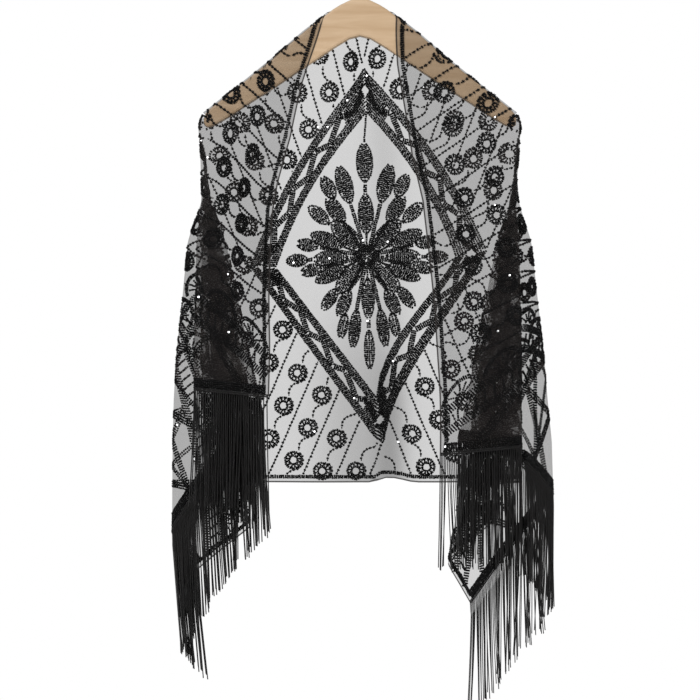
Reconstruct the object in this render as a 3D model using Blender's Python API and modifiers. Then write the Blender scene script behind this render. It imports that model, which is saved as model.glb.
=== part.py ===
"""Evening stole of embroidered black net, draped over a flat wooden hanger.

Metres, +Z up, the front faces -Y. The origin is where the hook hangs on its rail.

The stole is one flat rectangle. Its points are named by (run, depth): run is the distance
along the length from the middle of the back, depth is the distance below the upper long edge.
The middle hangs flat behind the hanger. Each end turns over an arm of the hanger and hangs in
front, and the cloth that is left over at the arm's tip falls in pleats under it. Round that tip
the cloth is described by a radius and a flat angle, which is 0 straight down and grows outwards.
A table of folds says where each flat angle swings to, and which layer it lies in.
"""

import math

import bmesh
import bpy
import numpy as np

# Stole
STOLE_WIDTH = 0.5205
UPPER_EDGE_Z = -0.0921
LEFT_RUN = 0.471
RIGHT_RUN = 0.534
WALL = 0.001
SEAM_GAP = 0.0003

# Hanger
TIP_X = 0.175
TIP_Z = -0.2084
WOOD_THICKNESS = 0.012
WOOD_EDGE = 0.0025
WOOD_TOP_Z = -0.0640
# Half outline of the wood: distance from the middle, height, both from the origin.
WOOD_TOP = ((0.0, -0.0640), (0.0085, -0.0668), (0.0220, -0.0732), (0.0305, -0.0785), (0.0460, -0.0905),
            (0.0610, -0.1020), (0.0757, -0.1145), (0.1016, -0.1370), (0.1298, -0.1597),
            (0.1456, -0.1719), (0.1592, -0.1826), (0.1690, -0.1905))
WOOD_TIP = ((0.1741, -0.1960), (0.1763, -0.2020), (0.1757, -0.2085), (0.1722, -0.2118))
WOOD_UNDER = ((0.1637, -0.2090), (0.1490, -0.2005), (0.1265, -0.1857), (0.0926, -0.1642),
              (0.0587, -0.1416), (0.0282, -0.1213), (0.0120, -0.1115), (0.0, -0.1085))

# Hook
WIRE_RADIUS = 0.0015
HOOK_RADIUS = 0.0205
HOOK_TIP_ANGLE = 200
HOOK_NECK_Z = -0.050
BORE_RADIUS = 0.0018
BORE_DEPTH = 0.024
SHANK_DEPTH = 0.022

# Drape
CLOTH_Y = 0.0070
BACK_DROP_Y = 0.0040
LAYER_PITCH = 0.0055
STACK_RUN = 0.085
FOLD_ROUNDNESS = 0.62
SOFTEST_FOLD = 7.0
PLEATS_START = 0.045
PLEATS_FORM_BY = 0.140
TURN_RISE = 0.0048
TURN_START = 0.0015
TIP_WRAP = 0.012
FRONT_LIFT_ANGLE = 22.0
DROP = UPPER_EDGE_Z - TIP_Z
REST = STOLE_WIDTH - DROP
UPPER_RUN = 0.0478

# Fringe
STRANDS = 100
STRAND_SHARE = 0.34
STRAND_LENGTH = 0.130
STRAND_UNEVEN = 0.004
HEADER_STRIP = 0.0030
TURN_SHARE = 0.05
TURN_GAP = 0.0009

# Grid
GRID_ROWS = 14

# Folds: flat angle, swing from straight down, and 1 where the cloth turns back on itself.
LEFT_FOLDS = (
    (-1.0, -1.0, 1),
    (10.0, -11.0, 1),
    (20.5, -1.0, 1),
    (27.5, -8.0, 1),
    (40.3, 4.3, 1),
    (62.0, -12.0, 1),
    (73.0, -1.0, 1),
    (84.0, -12.0, 1),
    (95.2, 0.0, 1),
)
RIGHT_FOLDS = (
    (1.0, 1.0, 1),
    (13.0, -10.0, 1),
    (24.5, 0.5, 1),
    (36.0, -9.5, 1),
    (59.5, 5.8, 1),
    (71.2, 1.0, 0),
    (84.0, -11.0, 1),
    (96.5, 0.5, 1),
)
# Outline: drop below the arm's tip, how far the pleats stand out past their plain fan.
LEFT_OUTLINE = ((0.0, 0.0), (0.003, 0.0045), (0.008, 0.0080), (0.030, 0.0115), (0.060, 0.0115),
                (0.085, 0.0105), (0.198, 0.0124), (0.254, 0.0145),
                (0.310, 0.0135), (0.356, 0.0113), (0.412, 0.0075), (0.468, 0.0035), (0.530, 0.0))
RIGHT_OUTLINE = ((0.0, 0.0), (0.003, 0.0045), (0.008, 0.0080), (0.030, 0.0085), (0.060, 0.0065),
                 (0.085, 0.0050), (0.198, 0.0060), (0.254, 0.0068),
                 (0.310, 0.0057), (0.356, 0.0056), (0.412, 0.0015), (0.530, 0.0))
# Opening: distance along the upper edge from the turn, how far that edge is pushed outwards.
LEFT_OPENING = ((0.0, 0.0), (0.060, 0.0124), (0.077, 0.0152), (0.133, 0.0192), (0.184, 0.0280),
                (0.215, 0.0305), (0.246, 0.0294), (0.314, 0.0248), (0.370, 0.0185), (0.423, 0.0150))
RIGHT_OPENING = ((0.0, 0.0), (0.054, -0.0050), (0.150, -0.0040), (0.200, 0.0015), (0.257, 0.0010),
                 (0.320, -0.0005), (0.378, -0.0042), (0.413, -0.0060), (0.450, -0.0100), (0.492, -0.0158))
OPENING_REACH = 0.105
# Foot of the turn over each arm: distance from the middle, height. It lies 4 mm under the wood's top.
TURN_FOOT = ((0.0330, -0.0845), (0.0460, -0.0945), (0.0610, -0.1060), (0.0757, -0.1185), (0.1016, -0.1410),
             (0.1298, -0.1637), (0.1456, -0.1759), (0.1592, -0.1866), (0.1690, -0.1945), (0.1750, -0.1990))
TURN_FADE = 0.075

SIDES = {
    "left": dict(sign=-1, fold=47.6, run=LEFT_RUN, folds=LEFT_FOLDS, outline=LEFT_OUTLINE, opening=LEFT_OPENING),
    "right": dict(sign=1, fold=48.5, run=RIGHT_RUN, folds=RIGHT_FOLDS, outline=RIGHT_OUTLINE,
                  opening=RIGHT_OPENING),
}


def soft(value):
    """0 to 1 with level ends."""
    value = np.clip(value, 0.0, 1.0)
    return value * value * (3 - 2 * value)


def table(rows, value):
    """The second column of a table at a value of its first, joined by straight lines."""
    columns = np.array(rows)
    return np.interp(value, columns[:, 0], columns[:, 1])


def swing_and_layer(side, angle, softness, formed):
    """Where a flat angle swings to, and how many layers lie behind it. The pleats are plain where formed is 0."""
    folds = side["folds"]
    middle = sum(row[1] for row in folds[1:-1]) / len(folds[1:-1])
    swings = [row[1] if row in (folds[0], folds[-1]) else middle + (row[1] - middle) * formed for row in folds]
    slopes = [1.0]
    for n in range(len(folds) - 1):
        slopes.append((swings[n + 1] - swings[n]) / (folds[n + 1][0] - folds[n][0]))
    slopes.append(-1.0)
    swing = swings[0] + slopes[0] * (angle - folds[0][0])
    layer = np.zeros_like(angle)
    for n, (flat, _, turns) in enumerate(folds):
        past = angle - flat
        round_past = np.sqrt(past * past + softness * softness)
        swing = swing + (slopes[n + 1] - slopes[n]) * (past + round_past) / 2
        if turns:
            layer = layer + (1 + past / round_past) / 2
    count = layers(side)
    turns_at = [row[0] for row in folds if row[2]]
    even = np.interp(angle, [turns_at[0] - 8.0] + turns_at + [turns_at[-1] + 8.0],
                     [0.0] + [n + 0.5 for n in range(count)] + [float(count)])
    return swing, layer * formed + even * (1 - formed)


def pleats_formed(radius):
    return soft((radius - PLEATS_START) / (PLEATS_FORM_BY - PLEATS_START))


def fold_softness(radius, pitch):
    """Half the width of a fold's turn, in degrees at a radius."""
    formed = pleats_formed(radius)
    sharp = np.minimum(SOFTEST_FOLD, np.degrees(FOLD_ROUNDNESS * pitch / radius))
    return sharp * formed + SOFTEST_FOLD * (1 - formed)


def layers(side):
    return sum(row[2] for row in side["folds"])


def back_crease(x, z):
    """Depth and lift of the soft crease right of the middle of the back, and of its slow waves."""
    fade = soft((-0.44 - z) / 0.12)
    crease = -0.0035 * fade * np.exp(-((x - 0.018) / 0.007) ** 2)
    waves = 0.0018 * soft((-0.22 - z) / 0.2) * np.sin(x / 0.021 + 0.6)
    lift = 0.005 * fade * soft((x - 0.016) / 0.008) * soft((0.065 - x) / 0.03)
    return crease + waves, lift


def polar(side, angle, radius):
    """Points of the cloth's middle surface, from flat angles in degrees and radii round the arm's tip."""
    angle = np.asarray(angle, float)
    radius = np.maximum(np.asarray(radius, float), 1e-6)
    angle, radius = np.broadcast_arrays(angle, radius)
    folds = side["folds"]
    count = layers(side)
    last = folds[-1][0]
    grown = soft(radius / STACK_RUN)
    pitch = (2 * CLOTH_Y * (1 - grown) + (count * LAYER_PITCH) * grown) / count
    swing, layer = swing_and_layer(side, angle, fold_softness(radius, pitch), pleats_formed(radius))
    turned = np.radians(swing)
    out = radius * np.sin(turned)
    down = radius * np.cos(turned)

    near = np.exp(-(np.clip(folds[0][0] - angle, 0, None) / 25.0) ** 2)
    back_y = CLOTH_Y + BACK_DROP_Y * grown * near
    lift = np.exp(-(np.clip(angle - last - 14.0, 0, None) / FRONT_LIFT_ANGLE) ** 2)
    front_y = -CLOTH_Y + (back_y - count * pitch + CLOTH_Y) * lift
    depth_y = back_y + (front_y - back_y) * layer / count

    # The pleats stand out round the tip.
    first = folds[0][0]
    pleated = soft((angle - first + 14.0) / 10.0) * soft((last + 14.0 - angle) / 10.0)
    beside = np.maximum(soft((swing + 14.0) / 16.0), pleated * (1 - soft(radius / 0.07)))
    out = out + table(side["outline"], down) * beside
    # The opening edge bows.
    flat_out = radius * np.sin(np.radians(angle))
    flat_depth = DROP + radius * np.cos(np.radians(angle))
    along = flat_out + TIP_X - UPPER_RUN
    pushed = table(side["opening"], along) * soft(1 - flat_depth / OPENING_REACH)
    out = out + pushed * soft((angle - last) / 8.0)

    # The turn over the arm follows the wood's top.
    fold = math.radians(side["fold"])
    line = DROP / math.cos(fold)
    to_neck = -(flat_out * math.sin(fold) + (flat_depth - DROP) * math.cos(fold))
    aside = np.abs(flat_out * math.cos(fold) - (flat_depth - DROP) * math.sin(fold))
    fade = np.exp(-(aside / TURN_FADE) ** 2) * np.exp(-(np.clip(to_neck - line, 0, None) / 0.03) ** 2)
    fade = fade * np.exp(-(np.clip(-to_neck, 0, None) / 0.06) ** 2)
    more_out, up = turn_shift(side, to_neck)
    out = out + more_out * fade
    up = up * fade

    x = side["sign"] * (TIP_X + out)
    z = TIP_Z - down + up
    behind = 1 - soft(layer)
    more_y, more_z = back_crease(x, z)
    points = np.stack([x, depth_y + more_y * behind, z + more_z * behind], -1)

    # Next to the tip the pleats gather onto the arch over the arm's end.
    beside_tip = (angle > folds[0][0] - 13.0) & (angle < last + 3.0)
    gathered = np.where(beside_tip, 1 - soft(radius / TIP_WRAP), 0.0)[..., None]
    around = np.clip((angle - folds[0][0] + 12.0) / (last + 2.0 - folds[0][0] + 12.0), 0, 1)
    return points * (1 - gathered) + arch(side, around, 0.0) * gathered


def turn_shift(side, run):
    """How far the turn's foot lies from the straight fold line, outwards and up, at a distance from the tip."""
    fold = math.radians(side["fold"])
    line = DROP / math.cos(fold)
    run = np.clip(run, 0, line)
    out = TIP_X - (TIP_X - TURN_FOOT[0][0]) * run / line
    return out - (TIP_X - run * math.sin(fold)), table(TURN_FOOT, out) - (TIP_Z + run * math.cos(fold))


def fold_line(side, run):
    """A point of the turn's foot, at a distance from the tip towards the neck: its distance out and height."""
    fold = math.radians(side["fold"])
    more_out, up = turn_shift(side, run)
    return TIP_X - run * math.sin(fold) + more_out, TIP_Z + run * math.cos(fold) + up


def arch(side, around, run):
    """Points over the arm's top edge: around is 0 at the back and 1 at the front."""
    bend = math.pi * np.asarray(around, float)
    across = np.sign(np.cos(bend)) * np.abs(np.cos(bend)) ** 0.6
    rise = TURN_RISE * np.abs(np.sin(bend)) ** 0.7
    fold = math.radians(side["fold"])
    out, z = fold_line(side, run)
    x = side["sign"] * (out + rise * math.cos(fold))
    return np.stack([x + 0 * bend, CLOTH_Y * across, z + rise * math.sin(fold)], -1)


def drape(side, run, depth):
    """Points of the middle surface from flat (run, depth), run measured outwards from the middle."""
    out = np.asarray(run, float) - TIP_X
    down = np.asarray(depth, float) - DROP
    angle = np.degrees(np.arctan2(out, down))
    angle = np.where(angle < side["fold"] - 180, angle + 360, angle)
    return polar(side, angle, np.hypot(out, down))


def reach(side, angle):
    """Radius at which a flat angle meets the edge of the cloth."""
    turned = math.radians(angle)
    header = side["run"] - TIP_X
    best = 10.0
    if math.sin(turned) > 1e-6 and angle < 180:
        best = min(best, header / math.sin(turned))
    if math.cos(turned) > 1e-6:
        best = min(best, REST / math.cos(turned))
    if math.cos(turned) < -1e-6:
        best = min(best, DROP / -math.cos(turned))
    return best


def corner_angles(side):
    header = side["run"] - TIP_X
    lower = math.degrees(math.atan2(header, REST))
    upper = 90 + math.degrees(math.atan2(DROP, header))
    return lower, upper


def seam_angle(side):
    """Flat angle of the seam between the back stretch and the pleats."""
    return side["folds"][0][0] - 12.0


def column_angles(side):
    """Flat angles of the grid's columns, close together at the folds and at the corners."""
    lower, upper = corner_angles(side)
    last = side["folds"][-1][0]
    start = seam_angle(side)
    found = [start, start + 4, start + 8, lower, upper]
    for flat, _, turns in side["folds"]:
        steps = (-2.2, -0.7, 0.7, 2.2) if turns else (0.0,)
        found += [flat + step for step in steps]
    flats = [row[0] for row in side["folds"]]
    for here, after in zip(flats, flats[1:]):
        pieces = int((after - here) / 6.5)
        found += [here + (after - here) * n / (pieces + 1) for n in range(1, pieces + 1)]
    found += [last + 5, last + 9, upper + 6, upper + 14]
    found += list(np.linspace(upper + 24, side["fold"] + 180, 7))
    found = sorted(found)
    kept = found[:1]
    for angle in found[1:]:
        if angle - kept[-1] > 0.45:
            kept.append(angle)
        elif angle in (lower, upper):
            kept[-1] = angle
    return kept


def row_shares(rows):
    """Where the rows lie between the arm's tip and the cloth's edge, closer together near the tip."""
    return [(n / rows) ** 1.2 for n in range(rows + 1)]


def add_object(name, mesh, material, collection):
    obj = bpy.data.objects.new(name, mesh)
    collection.objects.link(obj)
    mesh.materials.append(material)
    return obj


def cloth_wall(name, points, faces, material, collection):
    """A wall of cloth round the middle surface that the points and faces give."""
    mesh = bpy.data.meshes.new(name)
    mesh.from_pydata([tuple(p) for p in points], [], faces)
    shape = bmesh.new()
    shape.from_mesh(mesh)
    bmesh.ops.recalc_face_normals(shape, faces=shape.faces)
    bmesh.ops.triangulate(shape, faces=shape.faces)
    shape.to_mesh(mesh)
    shape.free()
    mesh.shade_smooth()
    obj = add_object(name, mesh, material, collection)
    wall = obj.modifiers.new("wall", "SOLIDIFY")
    wall.thickness = WALL
    wall.offset = 0
    wall.use_even_offset = False
    return obj


def zip_rows(first, second):
    """Triangles between two rows of vertex numbers that run the same way."""
    faces = []
    i = j = 0
    while i < len(first) - 1 or j < len(second) - 1:
        ahead_first = (i + 1) / (len(first) - 1) if i < len(first) - 1 else 2.0
        ahead_second = (j + 1) / (len(second) - 1) if j < len(second) - 1 else 2.0
        if ahead_first <= ahead_second:
            faces.append((first[i], first[i + 1], second[j]))
            i += 1
        else:
            faces.append((first[i], second[j + 1], second[j]))
            j += 1
    return faces


def front_stretch(name, side, rows, material, collection):
    """The end of the stole that turns over an arm, from the seam at the back to the opening edge."""
    angles = column_angles(side)
    last = side["folds"][-1][0]
    shares = row_shares(rows)
    points = []
    faces = []
    arch_row = [a for a in angles if a <= last + 3.0]
    ring = []
    start = seam_angle(side)
    for angle in arch_row:
        around = min(1.0, max(0.0, (angle - start) / (last + 2.0 - start)))
        ring.append(len(points))
        points.append(arch(side, around, 0.0))
    grid = []
    for angle in angles:
        column = []
        for share in shares[1:]:
            column.append(len(points))
            points.append(polar(side, angle, share * reach(side, angle)))
        grid.append(column)
    for j in range(len(angles) - 1):
        if j < len(ring) - 1:
            faces.append((ring[j], ring[j + 1], grid[j + 1][0], grid[j][0]))
        elif j < len(angles) - 2:
            faces.append((ring[-1], grid[j + 1][0], grid[j][0]))
        for i in range(rows - 1):
            faces.append((grid[j][i], grid[j + 1][i], grid[j + 1][i + 1], grid[j][i + 1]))
    # Turn over the arm's top edge.
    line = reach(side, side["fold"] + 180)
    turn_columns = 7
    turn = []
    for share in [TURN_START / line] + shares[1:]:
        row = []
        for n in range(turn_columns - 1):
            row.append(len(points))
            points.append(arch(side, n / (turn_columns - 1), share * line))
        turn.append(row)
    turn[0].append(len(points))
    points.append(arch(side, 1.0, TURN_START))
    for i in range(rows):
        turn[i + 1].append(grid[-1][i])
    for upper_row, lower_row in zip(turn, turn[1:]):
        for n in range(turn_columns - 1):
            faces.append((upper_row[n], upper_row[n + 1], lower_row[n + 1], lower_row[n]))
    faces += zip_rows(ring, turn[0])
    faces.append((ring[-1], turn[0][-1], grid[-1][0], grid[-2][0]))
    return cloth_wall(name, points, faces, material, collection)


def back_stretch(name, rows, columns, material, collection):
    """The middle of the stole, flat behind the hanger. Its rows end where those of the front stretches do."""
    shares = row_shares(rows)
    depths = [DROP * (1 - share) for share in reversed(shares)] + [DROP + REST * share for share in shares[1:]]
    points = []
    numbers = []
    for depth in depths:
        ends = []
        for side in (SIDES["left"], SIDES["right"]):
            if depth <= DROP:
                ends.append(TIP_X - (DROP - depth) * math.tan(math.radians(side["fold"])))
            else:
                ends.append(TIP_X + (depth - DROP) * math.tan(math.radians(seam_angle(side))))
        row = []
        for n in range(columns + 1):
            run = -ends[0] + (ends[0] + ends[1]) * n / columns
            if n in (0, columns):
                side = SIDES["left"] if n == 0 else SIDES["right"]
                if depth <= DROP:
                    point = arch(side, 0.0, (DROP - depth) / math.cos(math.radians(side["fold"])))
                    point[2] -= SEAM_GAP
                else:
                    point = polar(side, seam_angle(side), (depth - DROP) / math.cos(math.radians(seam_angle(side))))
                point[0] -= math.copysign(1.5 * SEAM_GAP, run)
            else:
                point = blended_back(run, depth)
            row.append(len(points))
            points.append(point)
        numbers.append(row)
    faces = []
    for upper_row, lower_row in zip(numbers, numbers[1:]):
        for n in range(columns):
            faces.append((upper_row[n], upper_row[n + 1], lower_row[n + 1], lower_row[n]))
    return cloth_wall(name, points, faces, material, collection)


def blended_back(run, depth):
    """A point of the back, where the two sides' tables meet smoothly at the middle."""
    share = float(soft(run / 0.06 + 0.5))
    left = drape(SIDES["left"], -run, depth)
    right = drape(SIDES["right"], run, depth)
    return left * (1 - share) + right * share


def column_depths(side):
    """Depths at which the front stretch's columns meet the short edge, without its corners."""
    lower, upper = corner_angles(side)
    inside = [a for a in column_angles(side) if lower + 0.1 < a < upper - 0.1]
    return [DROP + reach(side, a) * math.cos(math.radians(a)) for a in inside]


def header_edge(side, depths):
    """Points just past the short edge at the given depths, along the front stretch's own straight pieces,
    and the way that the cloth would go on from there."""
    lower, upper = corner_angles(side)
    angles = np.array([a for a in column_angles(side) if lower - 0.01 <= a <= upper + 0.01])
    radii = np.array([reach(side, a) for a in angles])
    edge = polar(side, angles, radii)
    flat = DROP + radii * np.cos(np.radians(angles))
    along = np.gradient(edge, axis=0)
    along = along / np.linalg.norm(along, axis=1)[:, None]
    inward = polar(side, angles, radii * 0.98) - edge
    onward = along * np.sum(inward * along, axis=1)[:, None] - inward
    for _ in range(2):
        onward = onward / np.linalg.norm(onward, axis=1)[:, None]
        onward[1:-1] = onward[1:-1] + (onward[:-2] + onward[2:]) / 2
    onward = onward / np.linalg.norm(onward, axis=1)[:, None]
    gaps = [TURN_GAP if turning(side, depth) else SEAM_GAP for depth in flat]
    order = np.argsort(flat)
    edge = edge + onward * np.array(gaps)[:, None]
    points = np.stack([np.interp(depths, flat[order], edge[order, n]) for n in range(3)], -1)
    ways = np.stack([np.interp(depths, flat[order], onward[order, n]) for n in range(3)], -1)
    return points, ways


def turning(side, *depths):
    """Whether the short edge turns from one layer to the next at one of these depths."""
    header = side["run"] - TIP_X
    for depth in depths:
        angle = np.array(math.degrees(math.atan2(header, depth - DROP)))
        radius = math.hypot(header, depth - DROP)
        _, layer = swing_and_layer(side, angle, fold_softness(radius, LAYER_PITCH), 1.0)
        part = float(layer) % 1.0
        if TURN_SHARE < part < 1 - TURN_SHARE:
            return True
    return False


def fringe(name, side, material, collection):
    """A header strip next to the short edge, and the strands that hang from it."""
    pitch = STOLE_WIDTH / STRANDS
    strands = []
    for n in range(STRANDS):
        ends = (pitch * (n + (1 - STRAND_SHARE) / 2), pitch * (n + (1 + STRAND_SHARE) / 2))
        if not turning(side, *ends):
            strands.append(ends)
    depths = [depth for ends in strands for depth in ends]
    for depth in column_depths(side):
        if not any(ends[0] - 0.0006 < depth < ends[1] + 0.0006 for ends in strands):
            depths.append(depth)
    depths = sorted(depths)
    top, way = header_edge(side, np.array(depths))
    foot = top + way * HEADER_STRIP
    points = [p for pair in zip(top, foot) for p in pair]
    faces = []
    for n in range(len(depths) - 1):
        a = 2 * n
        faces.append((a, a + 2, a + 3, a + 1))
    for n, ends in enumerate(strands):
        left = 2 * depths.index(ends[0]) + 1
        right = 2 * depths.index(ends[1]) + 1
        fall = STRAND_LENGTH + STRAND_UNEVEN * math.sin(2.4 * n) * math.sin(0.37 * n + 1)
        first = len(points)
        for root in (left, right):
            points.append(np.array([points[root][0], points[root][1], points[left][2] - fall]))
        faces.append((left, right, first + 1, first))
    return cloth_wall(name, points, faces, material, collection)


def hanger_body(name, material, collection, cutters):
    """Flat wood with eased edges, bored from the top for the hook."""
    half = list(WOOD_TOP) + list(WOOD_TIP) + list(WOOD_UNDER)
    outline = [(x, z) for x, z in half]
    outline += [(-x, z) for x, z in reversed(half[1:-1])]
    shape = bmesh.new()
    ring = [shape.verts.new((x, -WOOD_THICKNESS / 2, z)) for x, z in outline]
    face = shape.faces.new(ring)
    pushed = bmesh.ops.extrude_face_region(shape, geom=[face])
    moved = [v for v in pushed["geom"] if isinstance(v, bmesh.types.BMVert)]
    bmesh.ops.translate(shape, verts=moved, vec=(0, WOOD_THICKNESS, 0))
    bmesh.ops.recalc_face_normals(shape, faces=shape.faces)
    mesh = bpy.data.meshes.new(name)
    shape.to_mesh(mesh)
    shape.free()
    obj = add_object(name, mesh, material, collection)
    ease = obj.modifiers.new("eased edges", "BEVEL")
    ease.width = WOOD_EDGE
    ease.segments = 2
    ease.limit_method = "ANGLE"
    ease.angle_limit = math.radians(50)
    bpy.ops.mesh.primitive_cylinder_add(
        vertices=16, radius=BORE_RADIUS, depth=2 * BORE_DEPTH, location=(0, 0, WOOD_TOP_Z)
    )
    bore = bpy.context.object
    bore.name = "bore_cutter"
    for home in bore.users_collection:
        home.objects.unlink(bore)
    cutters.objects.link(bore)
    bore.hide_render = True
    bore.display_type = "WIRE"
    cut = obj.modifiers.new("bore", "BOOLEAN")
    cut.object = bore
    cut.operation = "DIFFERENCE"
    cut.solver = "EXACT"
    mesh.set_sharp_from_angle(angle=math.radians(35))
    return obj


def hook_path():
    """Centre line of the wire: from the free tip over the top, then back to the middle and down."""
    centre_z = -(HOOK_RADIUS - WIRE_RADIUS)
    path = []
    for n in range(17):
        turned = math.radians(HOOK_TIP_ANGLE + (-25 - HOOK_TIP_ANGLE) * n / 16)
        path.append((HOOK_RADIUS * math.cos(turned), 0.0, centre_z + HOOK_RADIUS * math.sin(turned)))
    start_x, _, start_z = path[-1]
    for n in range(1, 9):
        share = n / 8
        ease = 3 * share**2 - 2 * share**3
        path.append((start_x * (1 - ease), 0.0, start_z + (HOOK_NECK_Z - start_z) * share))
    path.append((0.0, 0.0, WOOD_TOP_Z))
    path.append((0.0, 0.0, WOOD_TOP_Z - SHANK_DEPTH))
    return path


def hanger_hook(name, material, collection):
    curve = bpy.data.curves.new(name + "_wire", "CURVE")
    curve.dimensions = "3D"
    curve.bevel_depth = WIRE_RADIUS
    curve.bevel_resolution = 1
    curve.use_fill_caps = True
    spline = curve.splines.new("POLY")
    path = hook_path()
    spline.points.add(len(path) - 1)
    for point, place in zip(spline.points, path):
        point.co = (*place, 1)
    wire = bpy.data.objects.new(name + "_wire", curve)
    collection.objects.link(wire)
    graph = bpy.context.evaluated_depsgraph_get()
    mesh = bpy.data.meshes.new_from_object(wire.evaluated_get(graph))
    shape = bmesh.new()
    shape.from_mesh(mesh)
    bmesh.ops.remove_doubles(shape, verts=shape.verts, dist=0.00001)
    bmesh.ops.recalc_face_normals(shape, faces=shape.faces)
    shape.to_mesh(mesh)
    shape.free()
    bpy.data.objects.remove(wire)
    mesh.materials.clear()
    mesh.shade_smooth()
    mesh.set_sharp_from_angle(angle=math.radians(50))
    return add_object(name, mesh, material, collection)


def principled(name, colour, roughness, metallic=0.0):
    material = bpy.data.materials.new(name)
    material.use_nodes = True
    shader = material.node_tree.nodes["Principled BSDF"]
    shader.inputs["Base Color"].default_value = (*colour, 1)
    shader.inputs["Roughness"].default_value = roughness
    shader.inputs["Metallic"].default_value = metallic
    material.diffuse_color = (*colour, 1)
    return material


def clear_scene():
    for obj in list(bpy.data.objects):
        bpy.data.objects.remove(obj)


def main():
    clear_scene()
    collection = bpy.data.collections.new("evening_stole")
    cutters = bpy.data.collections.new("cutters")
    cutters.hide_render = True
    for made in (collection, cutters):
        bpy.context.scene.collection.children.link(made)
    net = principled("black_net", (0.035, 0.033, 0.032), 0.75)
    yarn = principled("black_fringe", (0.02, 0.019, 0.019), 0.6)
    wood = principled("pale_wood", (0.66, 0.46, 0.28), 0.5)
    steel = principled("steel", (0.72, 0.72, 0.72), 0.25, 1.0)
    hanger_body("hanger_body", wood, collection, cutters)
    hanger_hook("hanger_hook", steel, collection)
    back_stretch("stole_back", GRID_ROWS, 18, net, collection)
    front_stretch("stole_left_front", SIDES["left"], GRID_ROWS, net, collection)
    front_stretch("stole_right_front", SIDES["right"], GRID_ROWS, net, collection)
    fringe("fringe_left", SIDES["left"], yarn, collection)
    fringe("fringe_right", SIDES["right"], yarn, collection)


main()
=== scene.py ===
"""Evening stole of black net, worked all over with beads and sequins, on a flat wooden hanger.

Metres, +Z up, the front faces -Y. The stole is one flat rectangle. Its points are named by
(run, depth): run is the distance along the length from the middle of the back, depth is the
distance below the upper long edge. Round each arm's tip the cloth is described by a radius and a
flat angle in degrees, which is 0 straight down and grows outwards.
"""

import math

import bmesh
import bpy
import numpy as np
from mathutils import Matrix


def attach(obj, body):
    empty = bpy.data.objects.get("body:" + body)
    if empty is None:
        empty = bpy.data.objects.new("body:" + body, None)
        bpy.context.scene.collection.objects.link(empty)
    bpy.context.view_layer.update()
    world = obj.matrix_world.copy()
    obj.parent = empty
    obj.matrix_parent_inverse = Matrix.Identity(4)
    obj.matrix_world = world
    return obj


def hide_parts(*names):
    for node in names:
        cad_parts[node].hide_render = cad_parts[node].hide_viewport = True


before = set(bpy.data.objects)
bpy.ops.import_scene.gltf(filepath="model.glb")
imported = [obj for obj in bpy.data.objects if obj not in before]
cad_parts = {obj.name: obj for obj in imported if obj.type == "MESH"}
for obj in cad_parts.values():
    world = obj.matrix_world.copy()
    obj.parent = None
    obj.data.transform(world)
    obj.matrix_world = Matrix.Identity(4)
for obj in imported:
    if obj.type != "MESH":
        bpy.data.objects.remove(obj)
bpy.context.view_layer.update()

# Stole.
STOLE_WIDTH = 0.5205
UPPER_EDGE_Z = -0.0921
LEFT_RUN = 0.471
RIGHT_RUN = 0.534
TIP_X = 0.175
TIP_Z = -0.2084
DROP = UPPER_EDGE_Z - TIP_Z
REST = STOLE_WIDTH - DROP
UPPER_RUN = 0.0478
TINY = 1e-12

# Drape: the cloth's depth, its pleats by radius, and its blends by angle.
CLOTH_Y = 0.007
BACK_DROP_Y = 0.004
BACK_DROP_ANGLE = 25.0
LAYER_PITCH = 0.0055
STACK_RUN = 0.085
FOLD_ROUNDNESS = 0.62
SOFTEST_FOLD = 7.0
PLEATS_START = 0.045
PLEATS_FORM_BY = 0.14
PLAIN_MARGIN = 8.0
FRONT_LIFT_ANGLE = 22.0
# The pleats stand out from this angle before the first fold to the same past the last one.
STAND_OUT = 14.0
STAND_OUT_BLEND = 10.0
SWING_BLEND = 16.0
TIP_REACH = 0.07
OPENING_REACH = 0.105
OPENING_BLEND = 8.0

# Turn over the arm: its rise, its arch's fullness, how far it pulls the cloth beside and beyond it.
TURN_RISE = 0.0048
ARCH_WIDENING = 0.6
ARCH_RISING = 0.7
TURN_FADE = 0.075
NECK_FADE = 0.03
TIP_FADE = 0.06
# Gathering onto the arch next to the tip: radius, and angles before the first fold and past the last.
TIP_WRAP = 0.012
GATHERED = (13.0, 3.0)
ARCHED = (12.0, 2.0)
# Half width of the turn on the flat cloth, and how the cloth beside it makes up for that.
ARCH_HALF = 0.008
ARCH_TAPER = 0.02
ARCH_FADE = 0.03
MIDDLE_BLEND = 0.06

# Soft crease right of the middle of the back: place, growth downwards, and the lift of the cloth beside it.
CREASE_X = 0.018
CREASE_WIDTH = 0.007
CREASE_DEPTH = 0.0035
CREASE_TOP_Z = -0.44
CREASE_GROWTH = 0.12
LIFT = 0.005
LIFT_START, LIFT_START_BLEND = 0.016, 0.008
LIFT_END, LIFT_END_BLEND = 0.065, 0.03
# Slow waves of the back.
WAVE_DEPTH = 0.0018
WAVE_TOP_Z = -0.22
WAVE_GROWTH = 0.2
WAVE_RUN = 0.021
WAVE_PHASE = 0.6

# Folds: flat angle, swing from straight down, and 1 where the cloth turns back on itself.
LEFT_FOLDS = (
    (-1.0, -1.0, 1), (10.0, -9.5, 1), (20.5, -3.5, 1), (27.5, -7.0, 1), (40.3, 4.3, 1),
    (62.0, -12.0, 1), (73.0, -4.0, 1), (84.0, -10.5, 1), (95.2, 0.0, 1),
)
RIGHT_FOLDS = (
    (1.0, 1.0, 1), (13.0, -7.5, 1), (24.5, -2.5, 1), (36.0, -9.0, 1), (59.5, 5.8, 1),
    (71.2, 1.0, 0), (84.0, -11.0, 1), (96.5, 0.5, 1),
)
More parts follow.
